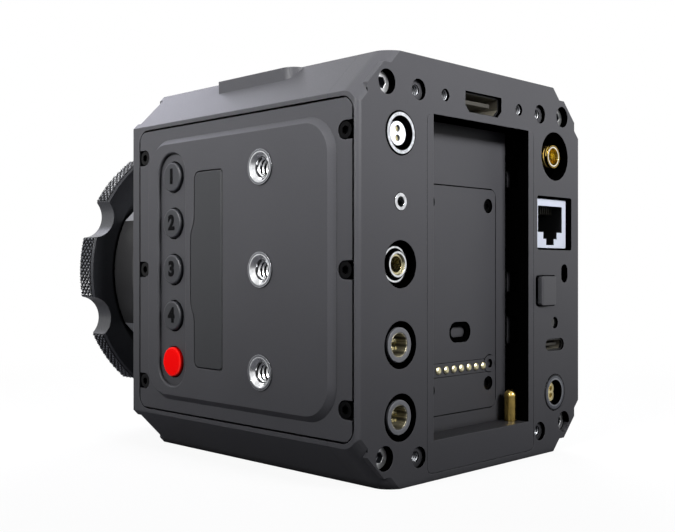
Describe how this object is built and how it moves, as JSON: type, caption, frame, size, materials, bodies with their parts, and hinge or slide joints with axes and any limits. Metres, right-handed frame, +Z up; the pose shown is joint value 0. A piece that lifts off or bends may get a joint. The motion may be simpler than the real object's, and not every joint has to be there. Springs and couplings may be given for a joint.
{
  "type": "cinema camera",
  "caption": "Box-shaped cinema camera body with a lens locking ring, side buttons, card door, battery bay and rear sockets.",
  "frame": {"origin": "under the middle of the camera, on the plane that it stands on", "axes": "+Z up, the lens faces -Y, the operator's button side faces +X"},
  "size_m": [0.095, 0.1216, 0.1],
  "materials": {
    "housing_paint": "satin, fine bead-blasted",
    "anodised_black": "satin black anodised",
    "ring_black": "black anodised, knurled",
    "steel": "turned",
    "chrome": "bright",
    "gold": "gold plated",
    "black_plastic": "matt",
    "button_plastic": "satin",
    "red_plastic": "satin gloss",
    "pale_plastic": "satin",
    "white_plastic": "satin",
    "door_rubber": "matt",
    "black_screw": "black oxide",
    "board": "circuit board",
    "glass": "coated optical glass",
    "display_glass": "dark cover glass",
    "sensor": "silicon",
    "lamp": "clear light guide"
  },
  "bodies": {
    "root": {"antenna_socket": "gold", "battery_contacts": "gold", "battery_tray": "housing_paint", "bay_plate": "housing_paint", "bay_plate_screws": "black_screw", "board_spacers": "steel", "button_boards": "board", "button_domes": "steel", "card_slot": "black_plastic", "connector_board": "board", "contact_strip": "black_plastic", "corner_screws": "steel", "data_port": "steel", "fan_frame": "black_plastic", "filter_frame": "black_plastic", "heat_sink": "anodised_black", "image_sensor": "sensor", "left_side_cover": "housing_paint", "main_board": "board", "main_housing": "housing_paint", "mount_block": "anodised_black", "mount_flange": "steel", "mount_screws": "steel", "multi_socket_pins": "gold", "multi_sockets": "anodised_black", "network_contacts": "gold", "network_jack": "pale_plastic", "port_tongues": "black_plastic", "power_inlet": "white_plastic", "power_inlet_core": "white_plastic", "power_switch": "black_plastic", "rear_housing": "housing_paint", "right_side_cover": "housing_paint", "sensor_carrier": "anodised_black", "sensor_filter": "glass", "side_cover_screws": "black_screw", "side_inserts": "chrome", "small_jack": "chrome", "socket_contacts": "gold", "status_lamp": "lamp", "terminal_pins": "gold", "top_display": "display_glass", "tripod_inserts": "chrome", "two_pin_core": "gold", "two_pin_socket": "chrome", "video_port": "steel", "video_socket": "chrome"},
    "locking_ring": {"locking_ring": "ring_black"},
    "card_door": {"card_door": "door_rubber"},
    "fan_rotor": {"fan_rotor": "black_plastic"},
    "power_button": {"power_button": "button_plastic"},
    "button_1": {"button_1": "button_plastic"},
    "button_2": {"button_2": "button_plastic"},
    "button_3": {"button_3": "button_plastic"},
    "button_4": {"button_4": "button_plastic"},
    "record_button": {"record_button": "red_plastic"},
    "menu_button_1": {"menu_button_1": "button_plastic"},
    "menu_button_2": {"menu_button_2": "button_plastic"},
    "menu_button_3": {"menu_button_3": "button_plastic"},
    "menu_button_4": {"menu_button_4": "button_plastic"}
  },
  "joints": [
    {"name": "locking_ring_turn", "type": "hinge", "parent": "root", "child": "locking_ring", "pos_m": [0, -0.056, 0.049], "axis": [0, -1, 0], "range_deg": [0, 60]},
    {"name": "card_door_hinge", "type": "hinge", "parent": "root", "child": "card_door", "pos_m": [0.04635, 0.01335, 0.0498], "axis": [0, 0, 1], "range_deg": [0, 95]},
    {"name": "button_1_press", "type": "slide", "parent": "root", "child": "button_1", "axis": [-1, 0, 0], "range_m": [0, 0.0007], "stiffness_N_per_m": 300},
    {"name": "button_2_press", "type": "slide", "parent": "root", "child": "button_2", "axis": [-1, 0, 0], "range_m": [0, 0.0007], "stiffness_N_per_m": 300},
    {"name": "button_3_press", "type": "slide", "parent": "root", "child": "button_3", "axis": [-1, 0, 0], "range_m": [0, 0.0007], "stiffness_N_per_m": 300},
    {"name": "button_4_press", "type": "slide", "parent": "root", "child": "button_4", "axis": [-1, 0, 0], "range_m": [0, 0.0007], "stiffness_N_per_m": 300},
    {"name": "record_button_press", "type": "slide", "parent": "root", "child": "record_button", "axis": [-1, 0, 0], "range_m": [0, 0.0007], "stiffness_N_per_m": 300},
    {"name": "menu_button_1_press", "type": "slide", "parent": "root", "child": "menu_button_1", "axis": [0, 0, -1], "range_m": [0, 0.0007], "stiffness_N_per_m": 300},
    {"name": "menu_button_2_press", "type": "slide", "parent": "root", "child": "menu_button_2", "axis": [0, 0, -1], "range_m": [0, 0.0007], "stiffness_N_per_m": 300},
    {"name": "menu_button_3_press", "type": "slide", "parent": "root", "child": "menu_button_3", "axis": [0, 0, -1], "range_m": [0, 0.0007], "stiffness_N_per_m": 300},
    {"name": "menu_button_4_press", "type": "slide", "parent": "root", "child": "menu_button_4", "axis": [0, 0, -1], "range_m": [0, 0.0007], "stiffness_N_per_m": 300},
    {"name": "power_button_press", "type": "slide", "parent": "root", "child": "power_button", "axis": [0, -1, 0], "range_m": [0, 0.0007], "stiffness_N_per_m": 300},
    {"name": "fan_spin", "type": "hinge", "parent": "root", "child": "fan_rotor", "pos_m": [-0.039, 0.03005, 0.0498], "axis": [1, 0, 0], "continuous": true}
  ]
}
